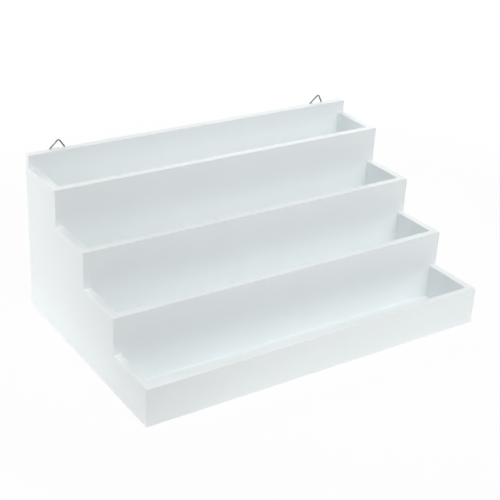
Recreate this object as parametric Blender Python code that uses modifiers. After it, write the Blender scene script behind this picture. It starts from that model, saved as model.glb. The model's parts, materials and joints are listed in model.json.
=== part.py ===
"""Tiered desktop organizer: a stepped box of painted boards with four open compartments.

Two strap hangers on the back carry triangular wire rings, for hanging the box on a wall.
Metres, +Z up. The front faces -Y and the right side faces +X. Bottom of the box at Z = 0.
"""

from math import acos, atan2, cos, hypot, pi, radians, sin, tan

import bmesh
import bpy
from mathutils import Matrix, Vector

# Box
WIDTH = 0.400  # over the two side panels
TIERS = 4
BOARD = 0.008  # thickness of the sides, the front boards and the back
FLOOR = 0.003  # thickness of the compartment floors
LIP_HEIGHT = 0.041  # lowest front board
TIER_RISE = 0.040  # from one tier's top edge to the next
LOWEST_PITCH = 0.065  # front face of the lip to front face of the first riser
TIER_PITCH = 0.062  # front face to front face of the tiers above
BACK_RISE = 0.014  # back panel above the side panels
GROOVE_DEPTH = 0.0025  # housing in the side panels for the floor ends
GAP = 0.0003  # joint line between neighbouring pieces

# Brads, sunk and filled
BRAD_RADIUS = 0.0006
BRAD_HEAD_RADIUS = 0.0010
BRAD_HEAD_HEIGHT = 0.0005
BRAD_POINT = 0.0020
BRAD_COVER = 0.0010  # filler and paint over the head
BRAD_BITE = 0.0120  # reach into the second board
BRAD_INSET = 0.0120  # from a front board's top and bottom edges
BACK_BRAD_INSET = 0.0150  # from the side panel's top and bottom
BACK_BRADS = 4  # down each side panel

# Strap hangers
HANGER_INSET = 0.0355  # ring's middle from the end of the back panel
HANGER_DROP = 0.0028  # ring axis below the back panel's top edge
STRAP_WIDTH = 0.010
STRAP_THICKNESS = 0.0008
STRAP_WRAP = radians(275)  # turn of the rolled eye
RING_CLEARANCE = 0.0003  # bar in the eye
RING_WIRE = 0.0016
RING_LEG_ANGLE = radians(55.4)  # between the base bar and a leg
RING_BEND = 0.0020  # bend radius at the wire's middle
RING_SIDE_PLAY = 0.0012  # straight bar beyond each edge of the strap
SCREW_RADIUS = 0.0013
SCREW_HEAD_RADIUS = 0.0028
SCREW_HEAD_RIM = 0.0006
SCREW_HEAD_DOME = 0.0010
SCREW_POINT = 0.0015
SCREW_COVER = 0.0015  # board left in front of the screw's point
SCREW_FREE = 0.0020  # between the hanging ring and the screw's head
RECESS_WIDTH = 0.0007
RECESS_LENGTH = 0.0030
RECESS_DEPTH = 0.0009

SIDES = (("left", -1), ("right", 1))

# Facets and working allowances
BRAD_STEPS = 8
SCREW_STEPS = 20
EYE_STEPS = 16
BEND_STEPS = 5
END_STEPS = 10
DOME_STEPS = 3
CUT_MARGIN = 0.002  # how far a cutter runs past what it cuts
CREASE = radians(35)  # sharper edges stay crisp on turned pieces
WELD = 0.000001

# Worked out from the sizes above
INNER_HALF = WIDTH / 2 - BOARD
BACK_FRONT = LOWEST_PITCH + (TIERS - 1) * TIER_PITCH
BACK_REAR = BACK_FRONT + BOARD
SIDE_TOP = LIP_HEIGHT + (TIERS - 1) * TIER_RISE
BACK_TOP = SIDE_TOP + BACK_RISE
BRAD_LENGTH = BOARD - BRAD_COVER + GAP + BRAD_BITE
EYE_INNER = RING_WIRE / 2 + RING_CLEARANCE
EYE_MIDDLE = EYE_INNER + STRAP_THICKNESS / 2
EYE_OUTER = EYE_INNER + STRAP_THICKNESS
AXIS_Y = BACK_REAR + GAP + EYE_OUTER
AXIS_Z = BACK_TOP - HANGER_DROP
BEND_TANGENT = RING_BEND / tan(RING_LEG_ANGLE / 2)
RING_HALF_BASE = STRAP_WIDTH / 2 + RING_SIDE_PLAY + BEND_TANGENT
RING_HEIGHT = RING_HALF_BASE * tan(RING_LEG_ANGLE)
RING_REACH = RING_HEIGHT - RING_BEND / cos(RING_LEG_ANGLE) + RING_BEND + RING_WIRE / 2
SCREW_DROP = RING_REACH + SCREW_FREE + SCREW_HEAD_RADIUS
SCREW_LENGTH = GAP + STRAP_THICKNESS + GAP + BOARD - SCREW_COVER
DEPTH = AXIS_Y + EYE_OUTER


def front_face(tier):
    """Distance of a tier's front face behind the lip's, with the lip as tier 1."""
    if tier == 1:
        return 0.0
    return LOWEST_PITCH + (tier - 2) * TIER_PITCH


def tier_top(tier):
    return LIP_HEIGHT + (tier - 1) * TIER_RISE


def ring_lean():
    """Forward lean at which the ring's wire comes to rest on the back panel's rear top edge."""
    setback = AXIS_Y - BACK_REAR
    stand_off = RING_WIRE / 2 + GAP
    return acos(stand_off / hypot(setback, HANGER_DROP)) - atan2(HANGER_DROP, setback)


def finish(name, colour, roughness, metallic=0.0):
    material = bpy.data.materials.new(name)
    material.use_nodes = True
    shader = material.node_tree.nodes["Principled BSDF"]
    shader.inputs["Base Color"].default_value = (*colour, 1.0)
    shader.inputs["Roughness"].default_value = roughness
    shader.inputs["Metallic"].default_value = metallic
    return material


def place(item, parent, material):
    """Puts a finished piece in the organizer's collection, under its parent."""
    parts.objects.link(item)
    item.parent = parent
    item.data.materials.append(material)
    return item


def keep_as_cutter(item, parent):
    cutters.objects.link(item)
    item.parent = parent
    item.hide_render = True
    item.display_type = "WIRE"
    return item


def empty(name, location, parent=None):
    item = bpy.data.objects.new(name, None)
    item.location = location
    item.parent = parent
    item.empty_display_size = STRAP_WIDTH
    parts.objects.link(item)
    return item


def cut(item, cutter, operation="DIFFERENCE"):
    modifier = item.modifiers.new(cutter.name, "BOOLEAN")
    modifier.operation = operation
    modifier.object = cutter


def boxes_mesh(name, boxes, origin):
    """Mesh of one or more boxes, each given by its low and high corners."""
    mesh = bpy.data.meshes.new(name)
    shape = bmesh.new()
    for low, high in boxes:
        low, high = Vector(low), Vector(high)
        size = Matrix.Diagonal((*(high - low), 1.0))
        middle = Matrix.Translation((low + high) / 2 - Vector(origin))
        bmesh.ops.create_cube(shape, size=1.0, matrix=middle @ size)
    shape.to_mesh(mesh)
    shape.free()
    return mesh


def board(name, low, high, material):
    """A plain board between two corners, with its origin at its middle."""
    middle = (Vector(low) + Vector(high)) / 2
    item = bpy.data.objects.new(name, boxes_mesh(name, [(low, high)], middle))
    item.location = middle
    return place(item, origin, material)


def evaluated_mesh(item):
    """A plain mesh of an object with its modifiers, or of a curve, with loose caps welded on."""
    bpy.context.scene.collection.objects.link(item)
    graph = bpy.context.evaluated_depsgraph_get()
    mesh = bpy.data.meshes.new_from_object(item.evaluated_get(graph))
    mesh.name = item.name
    shape = bmesh.new()
    shape.from_mesh(mesh)
    bmesh.ops.remove_doubles(shape, verts=shape.verts, dist=WELD)
    bmesh.ops.recalc_face_normals(shape, faces=shape.faces)
    shape.to_mesh(mesh)
    shape.free()
    bpy.data.objects.remove(item)
    return mesh


def outline_mesh(name, points, thickness):
    """A flat outline, filled and given a thickness about its own plane."""
    curve = bpy.data.curves.new(name, "CURVE")
    curve.dimensions = "2D"
    curve.fill_mode = "BOTH"
    curve.extrude = thickness / 2
    spline = curve.splines.new("POLY")
    spline.points.add(len(points) - 1)
    for point, (x, y) in zip(spline.points, points):
        point.co = (x, y, 0.0, 1.0)
    spline.use_cyclic_u = True
    mesh = evaluated_mesh(bpy.data.objects.new(name, curve))
    bpy.data.curves.remove(curve)
    return mesh


def turned_mesh(name, profile, steps):
    """A solid of revolution about Z, from a profile that runs from the axis at its top to its foot."""
    mesh = bpy.data.meshes.new(name)
    points = [(radius, 0.0, height) for radius, height in profile]
    mesh.from_pydata(points, [(i, i + 1) for i in range(len(points) - 1)], [])
    item = bpy.data.objects.new(name, mesh)
    screw = item.modifiers.new("turn", "SCREW")
    screw.steps = steps
    screw.render_steps = steps
    screw.use_merge_vertices = True
    screw.merge_threshold = WELD
    turned = evaluated_mesh(item)
    bpy.data.meshes.remove(mesh)
    turned.shade_smooth()
    turned.set_sharp_from_angle(angle=CREASE)
    return turned


def copies_mesh(name, source, places):
    """One mesh with a copy of the source at each place."""
    mesh = bpy.data.meshes.new(name)
    shape = bmesh.new()
    for matrix in places:
        single = source.copy()
        single.transform(matrix)
        shape.from_mesh(single)
        bpy.data.meshes.remove(single)
    shape.to_mesh(mesh)
    shape.free()
    return mesh


def rounded_corners(corners, radius, steps):
    """Closed outline whose corners, all bending the same way, are arcs of one radius."""
    points = []
    for index, corner in enumerate(corners):
        corner = Vector(corner)
        back = (Vector(corners[index - 1]) - corner).normalized()
        ahead = (Vector(corners[(index + 1) % len(corners)]) - corner).normalized()
        half_angle = back.angle(ahead) / 2
        middle = corner + (back + ahead).normalized() * radius / sin(half_angle)
        start = corner + back * radius / tan(half_angle) - middle
        end = corner + ahead * radius / tan(half_angle) - middle
        turn = start.angle_signed(end)
        for step in range(steps + 1):
            points.append(middle + Matrix.Rotation(-turn * step / steps, 2) @ start)
    return points


def brad_profile(clearance):
    """Half section of a brad, head at the top, grown all round by the clearance of its hole."""
    neck = -BRAD_HEAD_HEIGHT - clearance
    return [
        (0.0, clearance),
        (BRAD_HEAD_RADIUS + clearance, clearance),
        (BRAD_HEAD_RADIUS + clearance, neck),
        (BRAD_RADIUS + clearance, neck),
        (BRAD_RADIUS + clearance, BRAD_POINT - BRAD_LENGTH),
        (0.0, -BRAD_LENGTH - clearance),
    ]


def screw_profile():
    """Half section of a pan head screw, with the seat of its head at Z = 0."""
    dome = [
        (
            SCREW_HEAD_RADIUS * sin(pi / 2 * step / DOME_STEPS),
            SCREW_HEAD_RIM + SCREW_HEAD_DOME * cos(pi / 2 * step / DOME_STEPS),
        )
        for step in range(DOME_STEPS + 1)
    ]
    shank = [
        (SCREW_HEAD_RADIUS, 0.0),
        (SCREW_RADIUS, 0.0),
        (SCREW_RADIUS, SCREW_POINT - SCREW_LENGTH),
        (0.0, -SCREW_LENGTH),
    ]
    return [(0.0, dome[0][1])] + dome[1:] + shank


def screw_hole_profile():
    """Half section of the screw's hole, from outside the strap to past the screw's point."""
    radius = SCREW_RADIUS + GAP
    return [
        (0.0, CUT_MARGIN),
        (radius, CUT_MARGIN),
        (radius, SCREW_POINT - SCREW_LENGTH),
        (0.0, -SCREW_LENGTH - GAP),
    ]


def side_outline():
    """Stepped outline of a side panel, as distance behind the lip's face and height."""
    points = []
    step_foot = 0.0
    for tier in range(1, TIERS + 1):
        points.append((front_face(tier), step_foot))
        points.append((front_face(tier), tier_top(tier)))
        step_foot = tier_top(tier)
    rear = BACK_FRONT - GAP
    return points + [(rear, SIDE_TOP), (rear, 0.0)]


def side_panel(name, side, material):
    """Stepped panel, cut from the flat: its outline stands up in the YZ plane."""
    item = bpy.data.objects.new(name, outline_mesh(name, side_outline(), BOARD))
    item.rotation_euler = (pi / 2, 0.0, pi / 2)
    item.location = (side * (WIDTH - BOARD) / 2, 0.0, 0.0)
    return place(item, origin, material)


def front_board(tier, material):
    """The lip, or a riser that runs down to the floor of the tier in front of it."""
    half = INNER_HALF - GAP
    face = front_face(tier)
    foot = max(0, tier - 2) * TIER_RISE
    name = f"tier_{tier}_front_board"
    return board(name, (-half, face, foot), (half, face + BOARD, tier_top(tier)), material)


def floor_corners(tier, clearance):
    """Corners of a compartment's floor, grown all round by the clearance of its housing."""
    half = INNER_HALF + GROOVE_DEPTH - GAP + clearance
    front = front_face(tier) + BOARD + GAP - clearance
    rear = front_face(tier + 1) - GAP + clearance
    foot = (tier - 1) * TIER_RISE
    return (-half, front, foot - clearance), (half, rear, foot + FLOOR + clearance)


def floor_board(tier, material):
    low, high = floor_corners(tier, 0.0)
    return board(f"tier_{tier}_floor", low, high, material)


def floor_housings():
    """Grooves for all floors. The lowest runs out of the panel's foot, the highest out of its rear."""
    boxes = [floor_corners(tier, GAP) for tier in range(1, TIERS + 1)]
    low, high = boxes[0]
    boxes[0] = (low[0], low[1], low[2] - CUT_MARGIN), high
    low, high = boxes[-1]
    boxes[-1] = low, (high[0], high[1] + CUT_MARGIN, high[2])
    mesh = boxes_mesh("floor_housings", boxes, (0.0, 0.0, 0.0))
    return keep_as_cutter(bpy.data.objects.new("floor_housings", mesh), origin)


def side_brads():
    """Name and place of each brad that is driven through a side panel into a front board."""
    brads = []
    for side_name, side in SIDES:
        head = side * (WIDTH / 2 - BRAD_COVER)
        turn = Matrix.Rotation(side * pi / 2, 4, "Y")
        for tier in range(1, TIERS + 1):
            foot = max(0, tier - 2) * TIER_RISE
            heights = {"lower": foot + BRAD_INSET, "upper": tier_top(tier) - BRAD_INSET}
            for level, height in heights.items():
                spot = Matrix.Translation((head, front_face(tier) + BOARD / 2, height))
                brads.append((f"brad_{side_name}_tier_{tier}_{level}", spot @ turn))
    return brads


def back_brads():
    """Name and place of each brad that is driven through the back into a side panel's rear edge."""
    brads = []
    pitch = (SIDE_TOP - 2 * BACK_BRAD_INSET) / (BACK_BRADS - 1)
    turn = Matrix.Rotation(-pi / 2, 4, "X")
    for side_name, side in SIDES:
        for index in range(BACK_BRADS):
            height = BACK_BRAD_INSET + index * pitch
            spot = Matrix.Translation((side * (WIDTH - BOARD) / 2, BACK_REAR - BRAD_COVER, height))
            brads.append((f"brad_back_{side_name}_{index + 1}", spot @ turn))
    return brads


def brad_holes(name, brads):
    hole = turned_mesh("brad_hole", brad_profile(GAP), BRAD_STEPS)
    mesh = copies_mesh(name, hole, [matrix for _, matrix in brads])
    return keep_as_cutter(bpy.data.objects.new(name, mesh), origin)


def drive(brads, material):
    mesh = turned_mesh("brad", brad_profile(0.0), BRAD_STEPS)
    for name, matrix in brads:
        item = place(bpy.data.objects.new(name, mesh.copy()), origin, material)
        item.matrix_basis = matrix


def strap(side_name, hanger, material):
    """Flat strip, rolled at its top into an eye round the ring's bar, with a round lower end."""
    name = f"{side_name}_hanger_strap"
    path = [Vector((-EYE_MIDDLE, -SCREW_DROP - STRAP_WIDTH / 2 - CUT_MARGIN))]
    for step in range(EYE_STEPS + 1):
        angle = pi - STRAP_WRAP * step / EYE_STEPS
        path.append(EYE_MIDDLE * Vector((cos(angle), sin(angle))))
    shape = bmesh.new()
    edge = [shape.verts.new((-STRAP_WIDTH / 2, *point)) for point in path]
    lengths = [shape.edges.new(pair) for pair in zip(edge, edge[1:])]
    swept = bmesh.ops.extrude_edge_only(shape, edges=lengths)["geom"]
    far_edge = [vertex for vertex in swept if isinstance(vertex, bmesh.types.BMVert)]
    bmesh.ops.translate(shape, verts=far_edge, vec=(STRAP_WIDTH, 0.0, 0.0))
    mesh = bpy.data.meshes.new(name)
    shape.to_mesh(mesh)
    shape.free()
    item = place(bpy.data.objects.new(name, mesh), hanger, material)
    solid = item.modifiers.new("sheet", "SOLIDIFY")
    solid.thickness = STRAP_THICKNESS
    solid.offset = 0.0
    solid.use_even_offset = True
    cut(item, strap_trim(side_name, hanger), "INTERSECT")
    return item


def strap_trim(side_name, hanger):
    """Outline that the strap is trimmed to: parallel sides, and a half circle round the screw."""
    half = STRAP_WIDTH / 2 + CUT_MARGIN
    points = [(half, EYE_OUTER + CUT_MARGIN), (-half, EYE_OUTER + CUT_MARGIN), (-half, -SCREW_DROP)]
    for step in range(END_STEPS + 1):
        angle = pi + pi * step / END_STEPS
        points.append((STRAP_WIDTH / 2 * cos(angle), STRAP_WIDTH / 2 * sin(angle) - SCREW_DROP))
    points.append((half, -SCREW_DROP))
    name = f"{side_name}_strap_trim"
    mesh = outline_mesh(name, points, 2 * (EYE_OUTER + CUT_MARGIN))
    item = keep_as_cutter(bpy.data.objects.new(name, mesh), hanger)
    item.rotation_euler = (pi / 2, 0.0, 0.0)
    return item


def ring(side_name, hanger, material):
    """Closed wire triangle with its base bar on the joint's axis, leaning on the back panel's edge."""
    name = f"{side_name}_hanger_ring"
    corners = [(-RING_HALF_BASE, 0.0), (RING_HALF_BASE, 0.0), (0.0, RING_HEIGHT)]
    curve = bpy.data.curves.new(name, "CURVE")
    curve.dimensions = "3D"
    curve.bevel_depth = RING_WIRE / 2
    curve.bevel_resolution = 2
    points = rounded_corners(corners, RING_BEND, BEND_STEPS)
    spline = curve.splines.new("POLY")
    spline.points.add(len(points) - 1)
    for point, (x, z) in zip(spline.points, points):
        point.co = (x, 0.0, z, 1.0)
    spline.use_cyclic_u = True
    item = place(bpy.data.objects.new(name, curve), hanger, material)
    item.rotation_euler = (ring_lean(), 0.0, 0.0)
    return item


def screw(side_name, hanger, material):
    """Pan head screw with a cross recess, through the strap into the back panel."""
    name = f"{side_name}_hanger_screw"
    item = bpy.data.objects.new(name, turned_mesh(name, screw_profile(), SCREW_STEPS))
    place(item, hanger, material)
    item.location = (0.0, STRAP_THICKNESS + GAP - EYE_OUTER, -SCREW_DROP)
    item.rotation_euler = (-pi / 2, 0.0, 0.0)
    top = SCREW_HEAD_RIM + SCREW_HEAD_DOME
    slots = ((RECESS_LENGTH, RECESS_WIDTH), (RECESS_WIDTH, RECESS_LENGTH))
    for index, (along, across) in enumerate(slots):
        low = (-along / 2, -across / 2, top - RECESS_DEPTH)
        high = (along / 2, across / 2, top + CUT_MARGIN)
        mesh = boxes_mesh(f"{name}_slot", [(low, high)], (0.0, 0.0, 0.0))
        slot = keep_as_cutter(bpy.data.objects.new(f"{name}_slot_{index + 1}", mesh), item)
        cut(item, slot)
    return item


def screw_hole(side_name, hanger):
    name = f"{side_name}_screw_hole"
    item = bpy.data.objects.new(name, turned_mesh(name, screw_hole_profile(), SCREW_STEPS))
    keep_as_cutter(item, hanger)
    item.location = (0.0, STRAP_THICKNESS + GAP - EYE_OUTER, -SCREW_DROP)
    item.rotation_euler = (-pi / 2, 0.0, 0.0)
    return item


for old in list(bpy.data.objects):
    bpy.data.objects.remove(old)
parts = bpy.data.collections.new("tiered_desktop_organizer")
cutters = bpy.data.collections.new("cutters")
for group in (parts, cutters):
    bpy.context.scene.collection.children.link(group)

white_paint = finish("white_paint", (0.86, 0.89, 0.89), 0.45)
thin_white_board = finish("thin_white_board", (0.84, 0.87, 0.87), 0.55)
brad_steel = finish("brad_steel", (0.50, 0.50, 0.50), 0.40, 1.0)
strap_steel = finish("strap_steel", (0.55, 0.56, 0.57), 0.35, 1.0)
ring_steel = finish("ring_steel", (0.40, 0.41, 0.42), 0.35, 1.0)
screw_steel = finish("screw_steel", (0.60, 0.60, 0.58), 0.30, 1.0)

# The origin lies under the middle of the whole organizer, hangers included
origin = empty("organizer_origin", (0.0, -DEPTH / 2, 0.0))
through_sides = side_brads()
through_back = back_brads()
side_holes = brad_holes("side_brad_holes", through_sides)
back_holes = brad_holes("back_brad_holes", through_back)
housings = floor_housings()

for side_name, side in SIDES:
    panel = side_panel(f"{side_name}_side_panel", side, white_paint)
    cut(panel, housings)
    cut(panel, side_holes)
    cut(panel, back_holes)
for tier in range(1, TIERS + 1):
    cut(front_board(tier, white_paint), side_holes)
    floor_board(tier, thin_white_board)
back = board("back_panel", (-WIDTH / 2, BACK_FRONT, 0.0), (WIDTH / 2, BACK_REAR, BACK_TOP), white_paint)
cut(back, back_holes)
drive(through_sides + through_back, brad_steel)

for side_name, side in SIDES:
    spot = (side * (WIDTH / 2 - HANGER_INSET), AXIS_Y, AXIS_Z)
    hanger = empty(f"{side_name}_hanger_axis", spot, origin)
    hole = screw_hole(side_name, hanger)
    cut(strap(side_name, hanger, strap_steel), hole)
    cut(back, hole)
    ring(side_name, hanger, ring_steel)
    screw(side_name, hanger, screw_steel)
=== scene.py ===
# %% [markdown]
# # Dressing a tiered desktop organizer
# The object is a stepped box of white painted boards with four open compartments, and two
# triangular wire rings behind its top edge to hang it by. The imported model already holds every
# board, ring, strap, screw and brad in its place, in metres. This script gives each of them the
# shape and finish that a close look shows: eased arrises, paint drawn into the corners, filled
# brad holes, a drawn wire, a rolled strap. Nothing is moved or resized.

# %% Load the frame
import json
from functools import partial
from math import atan2, cos, degrees, hypot, pi, radians, sin, sqrt, tan

import bmesh
import bpy
from mathutils import Matrix, Vector


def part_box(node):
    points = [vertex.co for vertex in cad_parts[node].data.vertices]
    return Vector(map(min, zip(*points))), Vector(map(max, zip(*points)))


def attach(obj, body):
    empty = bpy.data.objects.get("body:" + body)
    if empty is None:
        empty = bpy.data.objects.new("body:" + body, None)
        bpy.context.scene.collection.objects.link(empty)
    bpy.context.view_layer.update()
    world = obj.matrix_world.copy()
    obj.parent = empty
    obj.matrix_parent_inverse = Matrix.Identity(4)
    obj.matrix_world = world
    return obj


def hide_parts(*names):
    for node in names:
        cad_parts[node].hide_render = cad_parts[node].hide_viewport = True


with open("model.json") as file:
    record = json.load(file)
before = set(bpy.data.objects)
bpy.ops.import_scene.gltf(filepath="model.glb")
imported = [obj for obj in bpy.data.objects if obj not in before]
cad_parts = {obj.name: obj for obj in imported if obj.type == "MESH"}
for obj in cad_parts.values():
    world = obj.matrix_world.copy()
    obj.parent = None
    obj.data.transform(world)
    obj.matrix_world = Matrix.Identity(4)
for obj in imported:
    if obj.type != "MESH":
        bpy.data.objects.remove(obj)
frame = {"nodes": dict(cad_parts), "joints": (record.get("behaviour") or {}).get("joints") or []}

scene = bpy.context.scene
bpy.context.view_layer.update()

# %% [markdown]
# ## Sizes read from the frame
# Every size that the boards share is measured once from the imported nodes, so the dressing follows
# the model if it changes. Tier 1 is the lowest. The model leaves a narrow gap between neighbours,
# which the real box doesn't show, because the paint closes it. The dressed boards grow into that
# gap and stop a hair short of each other.

# %% Measure the boards
tiers = sum(name.endswith("_front_board") for name in frame["nodes"])
fronts = [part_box(f"tier_{tier}_front_board") for tier in range(1, tiers + 1)]
floors = [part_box(f"tier_{tier}_floor") for tier in range(1, tiers + 1)]
back_low, back_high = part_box("back_panel")
panel_low, panel_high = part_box("left_side_panel")
board = back_high.y - back_low.y
half_width = back_high.x
inner_half = half_width - board
gap = fronts[0][0].x - panel_high.x
HAIR = 0.00002  # what stays open between two painted boards
closing = gap - HAIR

# %% [markdown]
# ## The camera
# The photograph was taken from the front left, a little above the box, with a longish lens, so the
# steps stay almost parallel but still close in towards the back. The camera's place and turn were
# solved from the corners of the boards. Turning about Z, then X, then the camera's own axis keeps
# the small roll of the photograph a value of its own, instead of hiding it in three Euler angles.

# %% Place the camera
LENS = 80.38  # mm, on a sensor 36 mm wide
CAMERA_PLACE = Vector((-0.6020, -0.8673, 0.6005))
CAMERA_TURN = radians(-34.486)
CAMERA_TILT = radians(90 - 26.441)
CAMERA_ROLL = radians(3.046)
camera_data = bpy.data.cameras.new("photo_camera")
camera_data.lens = LENS
camera = bpy.data.objects.new("photo_camera", camera_data)
camera.matrix_world = (
    Matrix.Translation(CAMERA_PLACE)
    @ Matrix.Rotation(CAMERA_TURN, 4, "Z")
    @ Matrix.Rotation(CAMERA_TILT, 4, "X")
    @ Matrix.Rotation(CAMERA_ROLL, 4, "Z")
)
scene.collection.objects.link(camera)
scene.camera = camera
print(f"camera {CAMERA_PLACE.length:.2f} m from the foot of the box")

# %% [markdown]
# ## Helpers for node trees
# Materials and Geometry Nodes are both trees of nodes. One helper adds a node, sets its options,
# and gives each input either a link, when it is handed another node's output, or a plain value. A
# kind without the word Node gets the prefix of its tree, so Bump is ShaderNodeBump in a material.
# The other helpers hand back the output of one node, so that a formula reads as a formula.

# %% Node helpers
def add(tree, kind, inputs=None, **options):
    """A new node, with its options set and its inputs linked or filled in."""
    node = tree.nodes.new(kind if "Node" in kind else tree.bl_idname.replace("Tree", kind))
    for option, value in options.items():
        setattr(node, option, value)
    for socket, value in (inputs or {}).items():
        if isinstance(value, bpy.types.NodeSocket):
            tree.links.new(value, node.inputs[socket])
        else:
            node.inputs[socket].default_value = value
    return node


def out(tree, kind, inputs=None, socket=0, **options):
    """One output of a new node: its first, unless another is named."""
    return add(tree, kind, inputs, **options).outputs[socket]


def sum_of(tree, operation, *values):
    """Output of one Math node."""
    return out(tree, "ShaderNodeMath", dict(enumerate(values)), operation=operation)


def mix_of(tree, share, first, second):
    """Output of one colour Mix node."""
    inputs = {"Factor": share, "A": first, "B": second}
    return out(tree, "Mix", inputs, "Result", data_type="RGBA")


def range_of(tree, value, start, end, low=0.0, high=1.0):
    """Output of one Map Range node, which takes start to low and end to high."""
    inputs = {"Value": value, "From Min": start, "From Max": end, "To Min": low, "To Max": high}
    return out(tree, "ShaderNodeMapRange", inputs, "Result")


print("node helpers ready")

# %% [markdown]
# A node group is a tree with sockets of its own, which any other tree can use as one node. Its
# sockets carry plain numbers, apart from the few that are listed by name.

# %% Start a node group
SOCKET_TYPES = {"Geometry": "Geometry", "Vector": "Vector", "Corner": "Vector", "Seed": "Int"}
SOCKET_TYPES.update({"Paint": "Material", "Metal": "Material", "Tiers": "Int"})


def new_group(kind, name, inputs, outputs):
    """An empty group, the sockets that lead in and out of it, and a helper that adds to it."""
    tree = bpy.data.node_groups.new(name, kind)
    for way, labels in (("INPUT", inputs), ("OUTPUT", outputs)):
        for label in labels:
            socket_type = "NodeSocket" + SOCKET_TYPES.get(label, "Float")
            tree.interface.new_socket(label, in_out=way, socket_type=socket_type)
    entry = tree.nodes.new("NodeGroupInput").outputs
    leave = tree.nodes.new("NodeGroupOutput").inputs
    return tree, entry, leave, partial(out, tree)


new_effect = partial(new_group, "ShaderNodeTree")
print("group helper ready")

# %% [markdown]
# ## Effects that several finishes share
# Sprayed paint is never quite even: it has the fine ripple called orange peel, a few grains of dust
# under the skin, and slow clouds of a slightly different white where the coats were thicker. All of
# them are noise on Object coordinates, which are metres on the real box, so a scale of 700 is 700
# ripples in a metre. The group puts out bare masks, and each material decides what they do.

# %% Sprayed skin
CLOUD_SPAN = (0.35, 0.65)  # noise between these goes from one white to the other
DUST_SPAN = (0.03, 0.09)  # a grain fades out between these distances from its middle
sprayed_skin, entry, leave, node = new_effect(
    "Sprayed Skin", ["Peel Scale", "Cloud Scale", "Dust Scale"], ["Peel", "Cloud", "Dust"]
)
spot = node("TexCoord", socket="Object")
ripple = {"Vector": spot, "Scale": entry["Peel Scale"], "Detail": 3.0, "Roughness": 0.45}
coats = {"Vector": spot, "Scale": entry["Cloud Scale"], "Detail": 4.0, "Roughness": 0.55}
cloud = node("TexNoise", coats, "Fac")
grains = node("TexVoronoi", {"Vector": spot, "Scale": entry["Dust Scale"]}, "Distance")
link = sprayed_skin.links.new
link(node("TexNoise", ripple, "Fac"), leave["Peel"])
link(range_of(sprayed_skin, cloud, *CLOUD_SPAN), leave["Cloud"])
link(range_of(sprayed_skin, grains, *DUST_SPAN, 1.0, 0.0), leave["Dust"])
print("group:", sprayed_skin.name)

# %% [markdown]
# Paint pulls away from a sharp corner as it dries, so along an arris the film is thinner, and hands
# polish it. The boards carry a face attribute for this: "arris" is 1 on their rounded corners. The
# group breaks it up with noise.

# %% Worn edges
WEAR_SPAN = (0.42, 0.72)  # noise between these goes from a full film to a thin one
worn_edges, entry, leave, node = new_effect("Worn Edges", ["Break Scale"], ["Thin", "Polish"])
rounded = node("Attribute", socket="Fac", attribute_name="arris")
spot = node("TexCoord", socket="Object")
breaks = {"Vector": spot, "Scale": entry["Break Scale"], "Detail": 5.0}
patches = node("TexNoise", breaks, "Fac")
worn = range_of(worn_edges, patches, *WEAR_SPAN)
worn_edges.links.new(sum_of(worn_edges, "MULTIPLY", rounded, worn), leave["Thin"])
worn_edges.links.new(rounded, leave["Polish"])
print("group:", worn_edges.name)

# %% [markdown]
# Steel that was rolled or drawn keeps fine lines along the way it travelled, and its thin zinc
# dulls in patches. The group reads whatever coordinates the material hands it: a strap's lines run
# down the strap, and a ring's lines run along its bent wire.

# %% Drawn metal
DULL_SPAN = (0.35, 0.70)  # noise between these goes from bright zinc to dull
drawn_metal, entry, leave, node = new_effect(
    "Drawn Metal", ["Vector", "Line Scale", "Patch Scale"], ["Lines", "Dull"]
)
fine = {"Vector": entry["Vector"], "Scale": entry["Line Scale"], "Detail": 4.0, "Roughness": 0.7}
spot = node("TexCoord", socket="Object")
zinc = {"Vector": spot, "Scale": entry["Patch Scale"], "Detail": 5.0}
patches = node("TexNoise", zinc, "Fac")
drawn_metal.links.new(node("TexNoise", fine, "Fac"), leave["Lines"])
drawn_metal.links.new(range_of(drawn_metal, patches, *DULL_SPAN), leave["Dull"])
print("group:", drawn_metal.name)

# %% [markdown]
# ## White paint
# The boards are sprayed with a cool satin white, neither glassy nor chalky: the roughness sits in
# the middle and wanders a little with the clouds. The arrises show a breath of the grey primer and
# are slightly smoother. The bump is the orange peel and the dust, a few hundredths of a millimetre
# deep. The floors are thin fibreboard, which drinks more of the paint, so they are a little duller
# and coarser.

# %% Paint
WHITE = (0.868, 0.908, 0.916, 1.0)
CLOUD_WHITE = (0.858, 0.898, 0.908, 1.0)
PRIMER = (0.800, 0.837, 0.844, 1.0)
THIN_SHARE = 0.15  # how much of the primer a thin film lets through
ARRIS_POLISH = 0.06  # how much smoother an arris is
CLOUD_DULL = 0.04  # how far the clouds move the roughness, either way
CLOUD_SCALE = 16.0  # slow changes of tone, in a metre
DUST_SCALE = 90.0
BREAK_SCALE = 120.0
DUST_HEIGHT = 0.6  # against the orange peel's own depth


def new_material(name):
    material = bpy.data.materials.new(name)
    material.use_nodes = True
    return material, material.node_tree, material.node_tree.nodes["Principled BSDF"]


def coat(tree, shader, colour, roughness, relief, depth):
    """Leads a colour, a roughness and a relief of some depth to a material's shader."""
    bump = out(tree, "Bump", {"Height": relief, "Distance": depth})
    for socket, value in (("Base Color", colour), ("Roughness", roughness), ("Normal", bump)):
        tree.links.new(value, shader.inputs[socket])


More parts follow.
